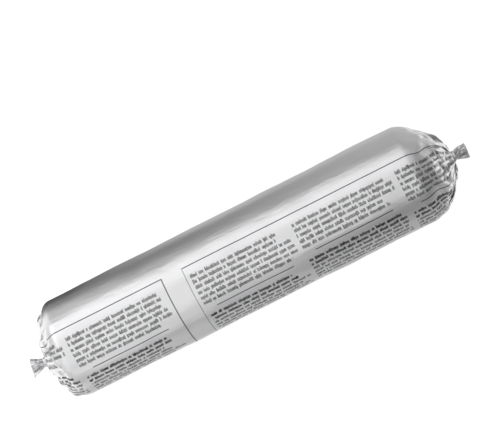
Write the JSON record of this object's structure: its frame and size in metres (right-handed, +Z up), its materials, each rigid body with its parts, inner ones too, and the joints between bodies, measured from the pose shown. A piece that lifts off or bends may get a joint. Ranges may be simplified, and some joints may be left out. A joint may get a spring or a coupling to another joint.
{
  "type": "sealant foil sausage pack",
  "caption": "Sealed foil film tube full of joint sealant, gathered into pleats at both ends and closed by wire clips, for loading whole into a barrel gun.",
  "frame": {"origin": "on the flat spot it lies on, under the middle of its width and half way between its tail tips", "axes": "+X along the pack towards its longer, more pointed end; +Z up"},
  "size_m": [0.236, 0.05, 0.049],
  "materials": {
    "foil_film": "satin foil film",
    "clip_wire": "pressed wire"
  },
  "bodies": {
    "root": {"foil_pack": "foil_film", "blunt_end_clip": "clip_wire", "long_end_clip": "clip_wire"}
  },
  "joints": []
}
